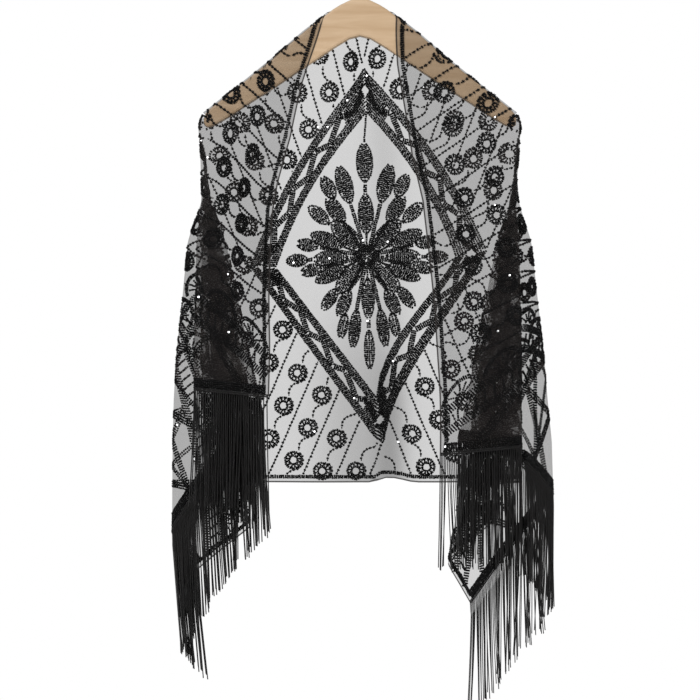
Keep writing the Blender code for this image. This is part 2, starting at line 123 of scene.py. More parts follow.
# Outline: drop below the arm's tip, how far the pleats stand out past their plain fan.
LEFT_OUTLINE = ((0.0, 0.0), (0.003, 0.0045), (0.008, 0.008), (0.03, 0.0115), (0.06, 0.0115),
                (0.085, 0.0105), (0.198, 0.0124), (0.254, 0.0145), (0.31, 0.0135), (0.356, 0.0113),
                (0.412, 0.0075), (0.468, 0.0035), (0.53, 0.0))
RIGHT_OUTLINE = ((0.0, 0.0), (0.003, 0.0045), (0.008, 0.008), (0.03, 0.0085), (0.06, 0.0065),
                 (0.085, 0.005), (0.198, 0.006), (0.254, 0.0068), (0.31, 0.0057), (0.356, 0.0056),
                 (0.412, 0.0015), (0.53, 0.0))
# Opening: distance along the upper edge from the turn, how far that edge is pushed outwards.
LEFT_OPENING = ((0.0, 0.0), (0.06, 0.0124), (0.077, 0.0152), (0.133, 0.0192), (0.184, 0.028),
                (0.215, 0.0305), (0.246, 0.0294), (0.314, 0.0248), (0.37, 0.0185), (0.423, 0.015))
RIGHT_OPENING = ((0.0, 0.0), (0.054, -0.005), (0.15, -0.004), (0.2, 0.0015), (0.257, 0.001),
                 (0.32, -0.0005), (0.378, -0.0042), (0.413, -0.006), (0.45, -0.01), (0.492, -0.0158))
# Foot of the turn over each arm: distance from the middle, height. It lies 4 mm under the wood's top.
TURN_FOOT = ((0.033, -0.0845), (0.046, -0.0945), (0.061, -0.106), (0.0757, -0.1185), (0.1016, -0.141),
             (0.1298, -0.1637), (0.1456, -0.1759), (0.1592, -0.1866), (0.169, -0.1945), (0.175, -0.199))

# Each side: its direction, the flat angle of the straight line up to the neck, its run and its tables.
SIDES = {
    "left": dict(sign=-1, fold=47.6, run=LEFT_RUN,
                 folds=LEFT_FOLDS, outline=LEFT_OUTLINE, opening=LEFT_OPENING),
    "right": dict(sign=1, fold=48.5, run=RIGHT_RUN,
                  folds=RIGHT_FOLDS, outline=RIGHT_OUTLINE, opening=RIGHT_OPENING),
}
for one in SIDES.values():
    one["sin"], one["cos"] = (f(math.radians(one["fold"])) for f in (math.sin, math.cos))


def soft(value):
    """0 to 1 with level ends."""
    value = np.clip(value, 0.0, 1.0)
    return value * value * (3 - 2 * value)


def unit(ways):
    """Directions made one long."""
    return ways / (np.linalg.norm(ways, axis=-1, keepdims=True) + TINY)


def table(rows, value):
    """The second column of a table at a value of its first, joined by straight lines."""
    columns = np.array(rows)
    return np.interp(value, columns[:, 0], columns[:, 1])


def layers(side):
    """How many layers the folds of a side lay on each other."""
    return sum(row[2] for row in side["folds"])


def swing_and_layer(side, angle, softness, formed):
    """Where a flat angle swings to, and how many layers lie behind it.

    The pleats are plain where formed is 0.
    """
    folds = side["folds"]
    inner = [row[1] for row in folds[1:-1]]
    middle = sum(inner) / len(inner)
    swings = [folds[0][1]] + [middle + (swing - middle) * formed for swing in inner] + [folds[-1][1]]
    slopes = [1.0]
    for n in range(len(folds) - 1):
        slopes.append((swings[n + 1] - swings[n]) / (folds[n + 1][0] - folds[n][0]))
    slopes.append(-1.0)
    swing = swings[0] + slopes[0] * (angle - folds[0][0])
    layer = np.zeros_like(angle)
    for n, (flat, _, turns) in enumerate(folds):
        past = angle - flat
        round_past = np.sqrt(past * past + softness * softness)
        swing = swing + (slopes[n + 1] - slopes[n]) * (past + round_past) / 2
        if turns:
            layer = layer + (1 + past / round_past) / 2
    count = layers(side)
    turns_at = [row[0] for row in folds if row[2]]
    even = np.interp(angle, [turns_at[0] - PLAIN_MARGIN] + turns_at + [turns_at[-1] + PLAIN_MARGIN],
                     [0.0] + [n + 0.5 for n in range(count)] + [float(count)])
    return swing, layer * formed + even * (1 - formed)


def pleats_formed(radius):
    """0 where the pleats are still plain, to 1 where they have their full form."""
    return soft((radius - PLEATS_START) / (PLEATS_FORM_BY - PLEATS_START))


def fold_softness(radius, pitch):
    """Half the width of a fold's turn, in degrees at a radius."""
    formed = pleats_formed(radius)
    sharp = np.minimum(SOFTEST_FOLD, np.degrees(FOLD_ROUNDNESS * pitch / radius))
    return sharp * formed + SOFTEST_FOLD * (1 - formed)


def back_crease(x, z):
    """How far the crease and the waves of the back move a point in depth, and the crease in height."""
    fade = soft((CREASE_TOP_Z - z) / CREASE_GROWTH)
    crease = -CREASE_DEPTH * fade * np.exp(-((x - CREASE_X) / CREASE_WIDTH) ** 2)
    waves = WAVE_DEPTH * soft((WAVE_TOP_Z - z) / WAVE_GROWTH) * np.sin(x / WAVE_RUN + WAVE_PHASE)
    lift = LIFT * fade * soft((x - LIFT_START) / LIFT_START_BLEND) * soft((LIFT_END - x) / LIFT_END_BLEND)
    return crease + waves, lift


def polar(side, angle, radius):
    """Points of the cloth's middle surface, from flat angles and radii round the arm's tip."""
    angle = np.asarray(angle, float)
    radius = np.maximum(np.asarray(radius, float), 1e-6)
    angle, radius = np.broadcast_arrays(angle, radius)
    first, last = side["folds"][0][0], side["folds"][-1][0]
    count = layers(side)
    grown = soft(radius / STACK_RUN)
    pitch = (2 * CLOTH_Y * (1 - grown) + (count * LAYER_PITCH) * grown) / count
    swing, layer = swing_and_layer(side, angle, fold_softness(radius, pitch), pleats_formed(radius))
    turned = np.radians(swing)
    out = radius * np.sin(turned)
    down = radius * np.cos(turned)

    near = np.exp(-(np.clip(first - angle, 0, None) / BACK_DROP_ANGLE) ** 2)
    back_y = CLOTH_Y + BACK_DROP_Y * grown * near
    lift = np.exp(-(np.clip(angle - last - STAND_OUT, 0, None) / FRONT_LIFT_ANGLE) ** 2)
    front_y = -CLOTH_Y + (back_y - count * pitch + CLOTH_Y) * lift
    depth_y = back_y + (front_y - back_y) * layer / count

    # The pleats stand out round the tip.
    pleated = soft((angle - first + STAND_OUT) / STAND_OUT_BLEND)
    pleated = pleated * soft((last + STAND_OUT - angle) / STAND_OUT_BLEND)
    beside = np.maximum(soft((swing + STAND_OUT) / SWING_BLEND), pleated * (1 - soft(radius / TIP_REACH)))
    out = out + table(side["outline"], down) * beside
    # The opening edge bows.
    flat_out = radius * np.sin(np.radians(angle))
    flat_depth = DROP + radius * np.cos(np.radians(angle))
    along = flat_out + TIP_X - UPPER_RUN
    pushed = table(side["opening"], along) * soft(1 - flat_depth / OPENING_REACH)
    out = out + pushed * soft((angle - last) / OPENING_BLEND)

    # The turn over the arm follows the wood's top.
    sin, cos = side["sin"], side["cos"]
    to_neck = -(flat_out * sin + (flat_depth - DROP) * cos)
    aside = np.abs(flat_out * cos - (flat_depth - DROP) * sin)
    past_neck = np.clip(to_neck - DROP / cos, 0, None)
    fade = np.exp(-(aside / TURN_FADE) ** 2) * np.exp(-(past_neck / NECK_FADE) ** 2)
    fade = fade * np.exp(-(np.clip(-to_neck, 0, None) / TIP_FADE) ** 2)
    more_out, up = turn_shift(side, to_neck)
    out = out + more_out * fade
    up = up * fade

    x = side["sign"] * (TIP_X + out)
    z = TIP_Z - down + up
    behind = 1 - soft(layer)
    more_y, more_z = back_crease(x, z)
    points = np.stack([x, depth_y + more_y * behind, z + more_z * behind], -1)

    # Next to the tip the pleats gather onto the arch over the arm's end.
    beside_tip = (angle > first - GATHERED[0]) & (angle < last + GATHERED[1])
    gathered = np.where(beside_tip, 1 - soft(radius / TIP_WRAP), 0.0)[..., None]
    around = np.clip((angle - first + ARCHED[0]) / (last + ARCHED[1] - first + ARCHED[0]), 0, 1)
    return points * (1 - gathered) + arch(side, around, 0.0) * gathered


def turn_shift(side, run):
    """How far the turn's foot lies from the straight line to the neck, a run from the tip: out and up."""
    sin, cos = side["sin"], side["cos"]
    line = DROP / cos
    run = np.clip(run, 0, line)
    out = TIP_X - (TIP_X - TURN_FOOT[0][0]) * run / line
    return out - (TIP_X - run * sin), table(TURN_FOOT, out) - (TIP_Z + run * cos)


def arch(side, around, run):
    """Points over the arm's top edge, a run from its tip: around is 0 at the back and 1 at the front."""
    bend = math.pi * np.asarray(around, float)
    across = np.sign(np.cos(bend)) * np.abs(np.cos(bend)) ** ARCH_WIDENING
    rise = TURN_RISE * np.abs(np.sin(bend)) ** ARCH_RISING
    sin, cos = side["sin"], side["cos"]
    more_out, up = turn_shift(side, run)
    x = side["sign"] * (TIP_X - run * sin + more_out + rise * cos)
    return np.stack([x + 0 * bend, CLOTH_Y * across, TIP_Z + run * cos + up + rise * sin], -1)


def drape(side, run, depth):
    """Points of the middle surface from flat (run, depth), run measured outwards from the middle."""
    out = np.asarray(run, float) - TIP_X
    down = np.asarray(depth, float) - DROP
    angle = np.degrees(np.arctan2(out, down))
    angle = np.where(angle < side["fold"] - 180, angle + 360, angle)
    return polar(side, angle, np.hypot(out, down))


def half(side, run, depth):
    """Points of one half of the cloth, the turn over the arm among them."""
    sin, cos = side["sin"], side["cos"]
    out = run - TIP_X
    down = depth - DROP
    to_neck = -(out * sin + down * cos)
    aside = out * cos - down * sin
    width = ARCH_HALF * soft(to_neck / ARCH_TAPER) + 1e-6
    beyond = np.maximum(np.abs(aside) - width, 1e-9)
    moved = np.sign(aside) * (beyond + width * (1 - np.exp(-beyond / ARCH_FADE)))
    hanging = drape(side, TIP_X - to_neck * sin + moved * cos,
                    DROP - to_neck * cos - moved * sin)
    on_top = arch(side, np.clip(0.5 + 0.5 * aside / width, 0, 1), np.maximum(to_neck, 0))
    over = (np.abs(aside) < width) & (to_neck > 0)
    return np.where(over[..., None], on_top, hanging)


def place(u, v):
    """Points of the cloth from flat u, positive to the right, and depth v."""
    u, v = np.broadcast_arrays(np.asarray(u, float), np.asarray(v, float))
    share = soft(u / MIDDLE_BLEND + 0.5)[..., None]
    return half(SIDES["left"], -u, v) * (1 - share) + half(SIDES["right"], u, v) * share


def surface(u, v, step=0.0006):
    """Points of the cloth, and its unit ways along u, along v and out of its right side."""
    along_u = unit(place(u + step, v) - place(u - step, v))
    along_v = unit(place(u, v + step) - place(u, v - step))
    return place(u, v), along_u, along_v, unit(np.cross(along_v, along_u))


# Net: rows from the tip to the edge, crowded towards the tip, and its columns' angles and their spacings.
NET_ROWS = 72
ROW_CROWDING = 1.1
MIDDLE_COLUMNS = 101
FOLD_STEPS = (0.15, 0.45, 0.9, 1.6, 2.6, 4.0)
BACK_TURN_STEPS = (0, 0.5, 1.0, 1.8, 2.8, 4.0, 5.6, 7.2)
FRONT_TURN_STEPS = (7.0, 5.4, 4.0, 2.8, 1.8, 1.0, 0.5)
BACK_SPACING = 1.2
PLEAT_SPACING = 0.9
FRONT_SPACING = 1.5
CORNER_GAP = 0.2
COLUMN_GAP = 0.13
MERGE_DISTANCE = 0.00002


def edge_radius(side, angle):
    """Radius at which a flat angle meets the edge of the cloth or its middle line."""
    turned = math.radians(angle)
    across, down = math.sin(turned), math.cos(turned)
    edges = ((REST, down), (DROP, -down), (side["run"] - TIP_X, across), (TIP_X, -across))
    return min(distance / share for distance, share in edges if share > 1e-6)


def net_angles(side):
    """Flat angles of the net's columns, all the way round the arm's tip."""
    fold = side["fold"]
    header = side["run"] - TIP_X
    top = math.degrees(math.atan2(-TIP_X, -DROP))
    bottom = math.degrees(math.atan2(-TIP_X, REST))
    corners = [math.degrees(math.atan2(header, REST)), 90 + math.degrees(math.atan2(DROP, header))]
    first, last = side["folds"][0][0], side["folds"][-1][0]
    own = [fold - 180 + step for step in BACK_TURN_STEPS if fold - 180 + step < top - 0.3]
    own += list(np.arange(bottom + BACK_SPACING, first - 6, BACK_SPACING))
    own += list(np.arange(first - 5, last + 6, PLEAT_SPACING))
    own += list(np.arange(last + 6, fold + 172, FRONT_SPACING))
    own += [fold + 180 - step for step in FRONT_TURN_STEPS]
    own += [row[0] + sign * step for row in side["folds"] for step in FOLD_STEPS for sign in (-1, 1)]
    thin = []
    for angle in sorted(own):
        beside_middle = top - CORNER_GAP < angle < bottom + CORNER_GAP
        beside_corner = min(abs(angle - corner) for corner in corners) <= CORNER_GAP
        if not beside_middle and not beside_corner and (not thin or angle - thin[-1] > COLUMN_GAP):
            thin.append(angle)
    return sorted(thin + list(np.linspace(top, bottom, MIDDLE_COLUMNS)) + corners)


def linked(name, data):
    """A new object in the scene."""
    obj = bpy.data.objects.new(name, data)
    bpy.context.scene.collection.objects.link(obj)
    return obj


def mesh_object(name, points, faces, material, smooth=True):
    """A mesh object from arrays: faces all have the same number of corners."""
    mesh = bpy.data.meshes.new(name)
    points = np.asarray(points, np.float32)
    faces = np.asarray(faces, np.int32)
    corners = faces.shape[1]
    mesh.vertices.add(len(points))
    mesh.vertices.foreach_set("co", points.ravel())
    mesh.loops.add(faces.size)
    mesh.loops.foreach_set("vertex_index", faces.ravel())
    mesh.polygons.add(len(faces))
    mesh.polygons.foreach_set("loop_start", np.arange(0, faces.size, corners, dtype=np.int32))
    mesh.update(calc_edges=True)
    mesh.validate()
    if smooth:
        mesh.shade_smooth()
    mesh.materials.append(material)
    return linked(name, mesh)


def repeated(faces, copies, points):
    """The same faces for each of many copies, which have a number of points each."""
    return (faces[None] + points * np.arange(copies)[:, None, None]).reshape(-1, faces.shape[1])


def net_sheet(material):
    """The whole stole as one open surface, with its flat places as UVs."""
    flats = []
    faces = []
    for sign, side in ((-1, SIDES["left"]), (1, SIDES["right"])):
        angles = np.array(net_angles(side))
        radii = np.array([edge_radius(side, a) for a in angles])
        shares = (np.arange(1, NET_ROWS + 1) / NET_ROWS) ** ROW_CROWDING
        first = sum(len(f) for f in flats)
        grid_r = radii[:, None] * shares[None, :]
        turned = np.radians(angles)[:, None]
        flat_u = sign * (TIP_X + grid_r * np.sin(turned))
        flat_v = DROP + grid_r * np.cos(turned)
        flats.append(np.stack([flat_u.ravel(), flat_v.ravel()], -1))
        count = len(angles)
        number = first + np.arange(count * NET_ROWS).reshape(count, NET_ROWS)
        after = np.roll(number, -1, axis=0)
        quads = np.stack([number[:, :-1], after[:, :-1], after[:, 1:], number[:, 1:]], -1).reshape(-1, 4)
        faces.append(quads if sign < 0 else quads[:, ::-1])
    flats = np.concatenate(flats)
    points = place(flats[:, 0], np.clip(flats[:, 1], 0, STOLE_WIDTH))
    obj = mesh_object("stole_net", points, np.concatenate(faces), material)
    mesh = obj.data
    layer = mesh.uv_layers.new(name="flat")
    corner = np.empty(len(mesh.loops), np.int32)
    mesh.loops.foreach_get("vertex_index", corner)
    layer.data.foreach_set("uv", flats[corner].astype(np.float32).ravel())
    shape = bmesh.new()
    shape.from_mesh(mesh)
    bmesh.ops.remove_doubles(shape, verts=shape.verts, dist=MERGE_DISTANCE)
    bmesh.ops.holes_fill(shape, edges=[e for e in shape.edges if e.is_boundary], sides=4)
    shape.to_mesh(mesh)
    shape.free()
    return obj


# Embroidery, laid out on the flat cloth. Rows of beads: pitch along a row, spacing of rows, size of a bead.
PITCH = 0.0023
ROW_SPACING = 0.0022
BAR_SPACING = 0.0029
BAR_SIZE = 0.9
BAR_PITCH = 0.0029
THREAD_PITCH = 0.0025
THREAD_SIZE = 0.55
LARGE_PITCH = 0.0042
LARGE_SIZE = 1.15
MIDDLE = STOLE_WIDTH / 2

# Corners of the rhombus frame: upper, right, lower, left. The cloth hangs a little askew.
FRAME_OUTER = ((0.005, 0.056), (0.1434, 0.2574), (0.026, 0.4809), (-0.1242, 0.2755))
FRAME_INNER = ((0.0075, 0.1016), (0.1095, 0.2653), (0.0192, 0.4256), (-0.096, 0.2766))
# How far each side of the frame bows outwards. The second is drawn in by the crease, the third is straight.
FRAME_BOW = (0.011, -0.013, 0.0, 0.011)
# The cloth's middle line: depth, place across.
MIDDLE_LINE = ((0.056, 0.005), (0.2642, 0.0079), (0.4809, 0.026))
# Each side: strokes of its zigzag, row spacing as a share of the frame's width, its outer and inner rows.
FRAME_SIDES = ((10, 0.083, 4, 4), (10, 0.072, 5, 4), (10, 0.083, 4, 4), (10, 0.083, 4, 4))
# The zigzag runs between these shares of the frame's width.
ZIGZAG_SHARES = (0.33, 0.68)
# Solid fill of each corner: its reach along the sides, its rows' shares, half the window in its middle.
CORNER_FILL = (0.17, 0.07, 0.14, 0.12)
FILL_SHARES = (0.34, 0.42, 0.5, 0.58, 0.66)
WINDOW_HALF = (0.0056, 0.0068)

# Medallion: its middle, its turn in degrees, and the share of its width that it loses a metre further down.
MEDALLION = (0.0079, 0.2642)
MEDALLION_TURN = -1.5
GATHER_BELOW = 50 / 13
GATHER_REACH = 0.1
CENTRE_RADII = np.arange(0.0022, 0.0135, 0.002)
MEDALLION_TOP = 0.128
OUTER_LEAVES = 0.05
# Leaf: how full its outline is, and how far its rows stay inside.
LEAF_POWERS = (2.2, 0.8)
LEAF_INSET = 0.0012
LEAF_CLEAR = 0.001
# Leaves of one quarter: angle from upright, distance of the middle, length, width, start of the stem.
LEAVES = (
    (0, 0.106, 0.0455, 0.0178, 0.072),
    (0, 0.048, 0.047, 0.0165, 0.006),
    (16, 0.085, 0.0455, 0.0172, 0.006),
    (28, 0.089, 0.0285, 0.014, 0.074),
    (33, 0.063, 0.035, 0.016, 0.006),
    (48, 0.0715, 0.03, 0.014, 0.055),
    (44, 0.0325, 0.047, 0.0205, 0.006),
    (67, 0.049, 0.039, 0.0165, 0.006),
    (78, 0.069, 0.025, 0.013, 0.006),
    (92, 0.08, 0.026, 0.013, 0.062),
    (92, 0.0415, 0.04, 0.0172, 0.006),
)

# Field: slant and spacing of its lines, and its distances from the frame, the hems and the borders.
SLANT = 0.43
LINE_SPACING = 0.038
FIELD_CLEAR = 0.002
FIELD_HEM = 0.008
FIELD_END = 0.028
FIELD_OVERRUN = 0.01
# Rings: pitch along a stem, and distances from the frame, the hems, the borders and the middle.
RING_PITCH = 0.037
RING_CLEAR = 0.0075
RING_HEM = 0.013
RING_END = 0.036
RING_FROM_MIDDLE = 0.009
# Circles of a ring: radius, beads, their size, and 1 where they point outwards as spokes.
RING_OUTER = 0.0093
CIRCLES = ((RING_OUTER, 26, 1.15, 0), (0.0072, 12, 0.9, 1), (0.005, 15, 1.2, 0))
# Stem: distance from its ring, angles between which it follows it, and the pulls of its curve after that.
STEM_CLEAR = 0.0018
STEM_ANGLES = (215, 325)
STEM_PULL_OUT = (0.007, 0.003)
STEM_PULL_IN = (0.0015, 0.002)
# Quarters of the field: side, half, line offset, stem offset, ring offset on even and on odd stems.
QUARTERS = (
    (-1, 1, 0.86, 0.33, 0.68, 0.35),
    (-1, -1, 0.55, 0.03, 0.7, 0.78),
    (1, 1, 0.68, 0.24, 0.09, 0.55),
    (1, -1, 0.72, 0.24, 0.74, 0.84),
)

# Borders, by distance from the short edge: two bands that bow up from their foot, with a ladder between.
BAND_FOOT = 0.018
BAND_RISE = 0.112
BAND_CURVE = 1.7
LADDER_WIDTH = 0.024
BORDER_HEM = 0.004
HEADER_BAND = 0.0065
ZIGS = 7
ZIG_FOOT = 0.012
ZIG_GAP = 0.003
# Strokes of a zig: direction, rows, and the least height of the band above it.
STROKES = ((-1, 3, 0.024), (1, 3, 0.024), (0, 2, 0.05))
RUNGS = np.arange(0.01, STOLE_WIDTH - 0.006, 0.0088)
RUNG_GAP = 0.004
FANS = 12
FAN_GAP = 0.004
FAN_RADIUS = 0.0195
FAN_ARCS = ((FAN_RADIUS, 1.45), (FAN_RADIUS - 0.0022, 1.4))
FAN_SPOKES = (-1.0, -0.5, 0.0, 0.5, 1.0)
SLOPE_STEP = 0.001

# Long edges: distances of the two rows from the hem, and from the short edges.
EDGE_ROWS = (0.0056, 0.0075)
EDGE_END = 0.004

work = {}


def chain(piece, line, pitch=PITCH, size=1.0, keep=None):
    """Beads threaded along a line of flat points."""
    line = np.asarray(line, float)
    steps = np.linalg.norm(np.diff(line, axis=0), axis=1)
    along = np.concatenate([[0], np.cumsum(steps)])
    if along[-1] < pitch / 2:
        return
    places = (np.arange(max(1, int(along[-1] / pitch))) + 0.5) * pitch
    ends = [np.stack([np.interp(places + off, along, line[:, n]) for n in range(2)], -1)
            for off in (-pitch / 4, pitch / 4)]
    at = (ends[0] + ends[1]) / 2
    way = unit(ends[1] - ends[0])
    good = np.ones(len(at), bool) if keep is None else keep(at[:, 0], at[:, 1])
    rows = np.concatenate([at, way, np.full((len(at), 1), size)], 1)[good]
    work.setdefault(piece, []).append(rows)


def beside(line, distance):
    """A line moved sideways on the flat cloth."""
    line = np.asarray(line, float)
    way = unit(np.gradient(line, axis=0))
    return line + np.stack([-way[:, 1], way[:, 0]], -1) * distance


def band(piece, line, rows, spacing=ROW_SPACING, size=1.0, pitch=PITCH):
    """Rows of beads side by side along a line."""
    for n in range(rows):
        chain(piece, beside(line, (n - (rows - 1) / 2) * spacing), pitch, size)


def beaded_thread(piece, line, keep):
    """A thin chain of small beads, with larger beads spaced along it."""
    chain(piece, line, THREAD_PITCH, THREAD_SIZE, keep)
    chain(piece, line, LARGE_PITCH, LARGE_SIZE, keep)


def straight(a, b, steps=2):
    """A straight line between two flat points."""
    return np.linspace(a, b, steps)


def bowed(side, along):
    """How far a side of the frame stands out at a share of its length."""
    bow = FRAME_BOW[side]
    return bow * (4 * along * (1 - along) if bow > 0 else 6.75 * along ** 2 * (1 - along))


def outside_frame(u, v):
    """Distance outside the rhombus frame, negative within it."""
    far = np.full(np.shape(u), -1.0)
    for side, a in enumerate(FRAME_OUTER):
        b = FRAME_OUTER[(side + 1) % 4]
        way = np.subtract(b, a) / math.dist(a, b)
        along = np.clip(((u - a[0]) * way[0] + (v - a[1]) * way[1]) / math.dist(a, b), 0, 1)
        far = np.maximum(far, (u - a[0]) * way[1] - (v - a[1]) * way[0] - bowed(side, along))
    return far


def across_middle(u, v):
    """Distance to the right of the cloth's middle line."""
    return u - np.interp(v, [row[0] for row in MIDDLE_LINE], [row[1] for row in MIDDLE_LINE])


def border_depths(v):
    """Distances from the short edge of the border's two long bands at a depth."""
    aside = np.abs(v - MIDDLE) / MIDDLE
    near = BAND_FOOT + BAND_RISE * (1 - aside ** BAND_CURVE)
    return near, near + LADDER_WIDTH


def end_distance(u):
    """Distance from the short edge on the same side."""
    return np.where(u < 0, LEFT_RUN + u, RIGHT_RUN - u)


def in_field(u, v):
    """Where the open field of rings and lines lies."""
    clear = outside_frame(u, v) > FIELD_CLEAR
    inside = (v > FIELD_HEM) & (v < STOLE_WIDTH - FIELD_HEM)
    return clear & inside & (end_distance(u) > border_depths(v)[1] + FIELD_END)


def frame_point(side, along, share):
    """A flat point of the frame: along its side 0 to 1, share 0 on the outer edge and 1 on the inner one."""
    ends = []
    for corner in (side, (side + 1) % 4):
        outer, inner = np.array(FRAME_OUTER[corner]), np.array(FRAME_INNER[corner])
        ends.append(outer + (inner - outer) * share)
    way = (ends[1] - ends[0]) / np.linalg.norm(ends[1] - ends[0])
    return ends[0] + (ends[1] - ends[0]) * along + np.array([way[1], -way[0]]) * bowed(side, along)


def rhombus_frame():
    """The frame round the medallion: edge rows, and a zigzag of bands that leaves small windows."""
    for side, (strokes, step, outer_rows, inner_rows) in enumerate(FRAME_SIDES):
        for share in (*(np.arange(outer_rows) * step), *(1 - np.arange(inner_rows) * step)):
            chain("frame_beads", [frame_point(side, t, share) for t in np.linspace(0, 1, 9)])
        knots = [frame_point(side, n / strokes, ZIGZAG_SHARES[n % 2]) for n in range(strokes + 1)]
        for p, q in zip(knots, knots[1:]):
            band("frame_beads", straight(p, q), 3)
        filled, next_filled = CORNER_FILL[side], CORNER_FILL[(side + 1) % 4]
        for start, end in ((0.0, filled), (1.0 - next_filled, 1.0)):
            for share in FILL_SHARES:
                chain("frame_beads", [frame_point(side, t, share) for t in np.linspace(start, end, 5)])
    rows = np.concatenate(work["frame_beads"])
    for outer, inner in zip(FRAME_OUTER, FRAME_INNER):
        off = np.abs(rows[:, :2] - np.add(outer, inner) / 2) / WINDOW_HALF
        rows = rows[off.sum(axis=1) > 1]
    work["frame_beads"] = [rows]


def leaf(piece, at, angle, length, width):
    """A pointed leaf: an outline of beads, and rows of beads inside."""
    turned = math.radians(angle)
    along = np.array([math.sin(turned), -math.cos(turned)])
    across = np.array([math.cos(turned), math.sin(turned)])
    t = np.linspace(-1, 1, 25)
    bulge = width / 2 * (1 - np.abs(t) ** LEAF_POWERS[0]) ** LEAF_POWERS[1]
    for sign in (-1, 1):
        chain(piece, np.outer(t * length / 2, along) + np.outer(sign * bulge, across) + at)
    rows = int((width / 2 - LEAF_INSET) / ROW_SPACING)
    for n in range(-rows, rows + 1):
        off = n * (width / 2 / (rows + 1))
        inside = np.abs(off) < bulge - LEAF_CLEAR
        if inside.sum() > 2:
            span = t[inside] * length / 2
            shift = PITCH / 2 if n % 2 else 0.0
            ends = [np.array(at) + along * (s + shift) + across * off for s in (span[0], span[-1])]
            chain(piece, straight(*ends))


def medallion_point(across, up):
    """A flat point from the medallion's own axes. Its lower half is drawn together towards the crease."""
    turned = math.radians(MEDALLION_TURN)
    across = across * (1 - GATHER_BELOW * np.clip(-up, 0, GATHER_REACH))
    return np.array([MEDALLION[0] + across * math.cos(turned) - up * math.sin(-turned),
                     MEDALLION[1] - up * math.cos(turned) + across * math.sin(turned)])


def medallion():
    """Leaves in tiers round a centre, on stems, the same in all four quarters."""
    for angle, distance, length, width, stem_start in LEAVES:
        turns = {angle % 360, -angle % 360}
        if angle < 90:
            turns |= {180 - angle, 180 + angle}
        for turn in sorted(turns):
            turned = math.radians(turn)
            way = np.array([math.sin(turned), math.cos(turned)])
            middle = medallion_point(*(way * distance))
            inner = medallion_point(*(way * (distance - length / 2)))
            axis = middle - inner
            drawn = 1 - GATHER_BELOW * max(0.0, -way[1] * distance)
            leaf("medallion_beads", middle, math.degrees(math.atan2(axis[0], -axis[1])), length,
                 width * (1 - abs(way[1]) * (1 - drawn)))
            if stem_start < distance - length / 2:
                start = medallion_point(*(way * stem_start))
                band("medallion_beads", straight(start, inner), 2 if distance > OUTER_LEAVES else 1)
    for radius in CENTRE_RADII:
        t = np.linspace(0, 2 * math.pi, 40)
        chain("medallion_beads", np.array(MEDALLION) + radius * np.stack([np.sin(t), np.cos(t)], -1))
    chain("medallion_beads", straight(FRAME_INNER[0], medallion_point(0, MEDALLION_TOP)))


def ring(piece, u, v):
    """A round flower: an outer and an inner ring of beads, and spokes of one bead between them."""
    for radius, count, size, spoke in CIRCLES:
        t = 2 * math.pi * (np.arange(count) + 0.5) / count
        outward = np.stack([np.sin(t), np.cos(t)], -1)
        way = outward if spoke else np.stack([np.cos(t), -np.sin(t)], -1)
        rows = np.concatenate([(u, v) + radius * outward, way, np.full((count, 1), size)], 1)
        work.setdefault(piece, []).append(rows)


def stem(here, after, across, updown):
    """The wavy stem: round one side of a ring, under it, then down beside the next one."""
    turn = np.radians(np.linspace(*STEM_ANGLES, 12))
    beside_ring = np.stack([np.sin(turn), np.cos(turn)], -1) * (RING_OUTER + STEM_CLEAR)
    last = np.subtract(after, here) * (across, updown) + beside_ring[0]
    lead = beside_ring[-1]
    pull_out = lead + STEM_PULL_OUT
    pull_in = np.array([last[0] + STEM_PULL_IN[0], lead[1] + STEM_PULL_IN[1]])
    t = np.linspace(0, 1, 14)[1:, None]
    under = ((1 - t) ** 3 * lead + 3 * t * (1 - t) ** 2 * pull_out
             + 3 * t ** 2 * (1 - t) * pull_in + t ** 3 * last)
    return np.concatenate([beside_ring, under]) * (across, updown) + here


def field():
    """Slanted straight lines, and between them wavy stems that carry rings."""
    reach = MIDDLE + FIELD_OVERRUN
    for across, updown, line_offset, stem_offset, even, odd in QUARTERS:
        run = LEFT_RUN if across < 0 else RIGHT_RUN
        piece = "field_left_beads" if across < 0 else "field_right_beads"

        def own_side(u, v, across=across):
            return in_field(u, v) & (across_middle(u, v) * across > FIELD_CLEAR)

        for k in range(-4, int(run / LINE_SPACING) + 1):
            q = np.linspace(0.001, reach, 60)
            p = (k + line_offset) * LINE_SPACING + SLANT * q
            beaded_thread(piece, np.stack([across * p, MIDDLE + updown * q], -1), own_side)
            start = (k + stem_offset) * LINE_SPACING
            phase = odd if k % 2 and k > -3 else even
            spots = []
            for n in range(-1, int(reach / RING_PITCH) + 2):
                q = (n + phase) * RING_PITCH
                spots.append((across * (start + SLANT * q), MIDDLE + updown * q))
            for here, after in zip(spots, spots[1:]):
                if (here[1] - MIDDLE) * updown > -FIELD_CLEAR:
                    beaded_thread(piece, stem(here, after, across, updown), own_side)
            for u, v in spots:
                inside = RING_HEM < v < STOLE_WIDTH - RING_HEM and (v - MIDDLE) * updown > RING_FROM_MIDDLE
                clear = outside_frame(u, v) > RING_CLEAR and across_middle(u, v) * across > RING_CLEAR
                if inside and clear and end_distance(u) > border_depths(v)[1] + RING_END:
                    ring(piece, u, v)


